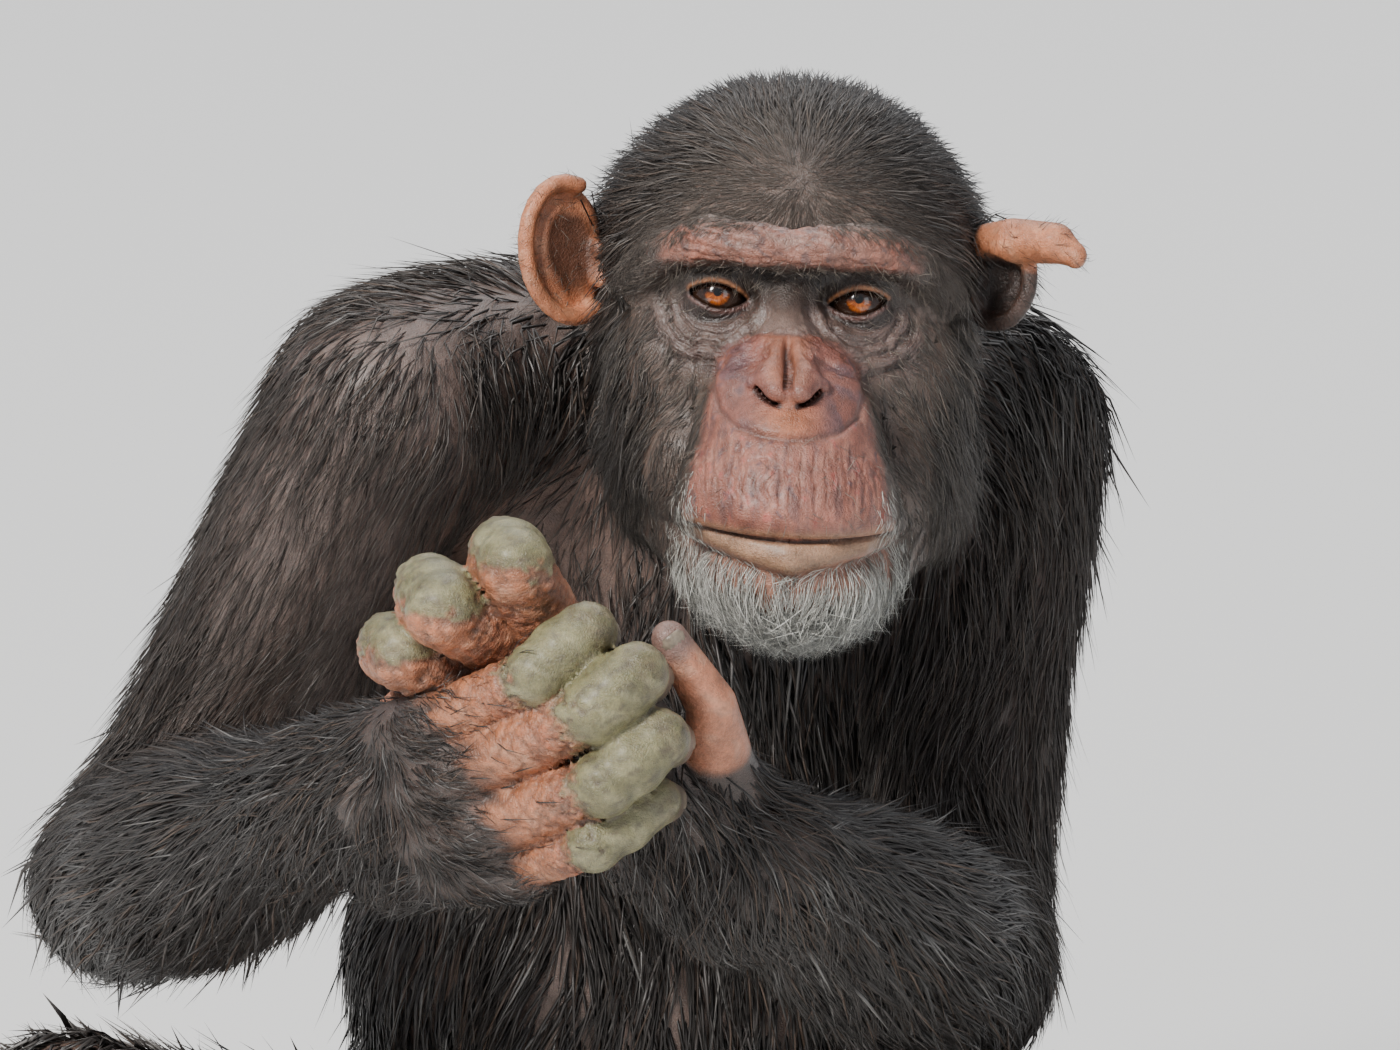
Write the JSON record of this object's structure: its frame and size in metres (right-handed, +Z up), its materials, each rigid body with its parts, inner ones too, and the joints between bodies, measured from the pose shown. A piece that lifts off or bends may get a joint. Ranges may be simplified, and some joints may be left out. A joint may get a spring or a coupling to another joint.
{
  "type": "chimpanzee",
  "caption": "Life-size still model of a seated adult chimpanzee with its hands clasped before its chest, resting on its rump and feet.",
  "frame": {"origin": "on the floor, at the middle of the flat under the rump", "axes": "+Z up, -Y the way the animal faces, so +X is its left side"},
  "size_m": [0.5855, 0.6824, 0.7345],
  "materials": {
    "coat": "long glossy black-brown hair over brown skin",
    "face_skin": "brown face with a pinkish muzzle, white beard and black whiskers",
    "ear_skin": "bare orange-tan skin, dark in the cup",
    "hand_skin": "wrinkled orange-tan skin with grey-green knuckle pads",
    "eye": "wet orange-brown iris in a dark eyeball"
  },
  "bodies": {
    "root": {"ear_left": "ear_skin", "ear_right": "ear_skin", "eye_left": "eye", "eye_right": "eye", "foot_left": "hand_skin", "foot_right": "hand_skin", "forearm_left": "coat", "forearm_right": "coat", "hand_left": "hand_skin", "hand_right": "hand_skin", "head": "face_skin", "neck": "coat", "shank_left": "coat", "shank_right": "coat", "thigh_left": "coat", "thigh_right": "coat", "torso": "coat", "upper_arm_left": "coat", "upper_arm_right": "coat"}
  },
  "joints": []
}
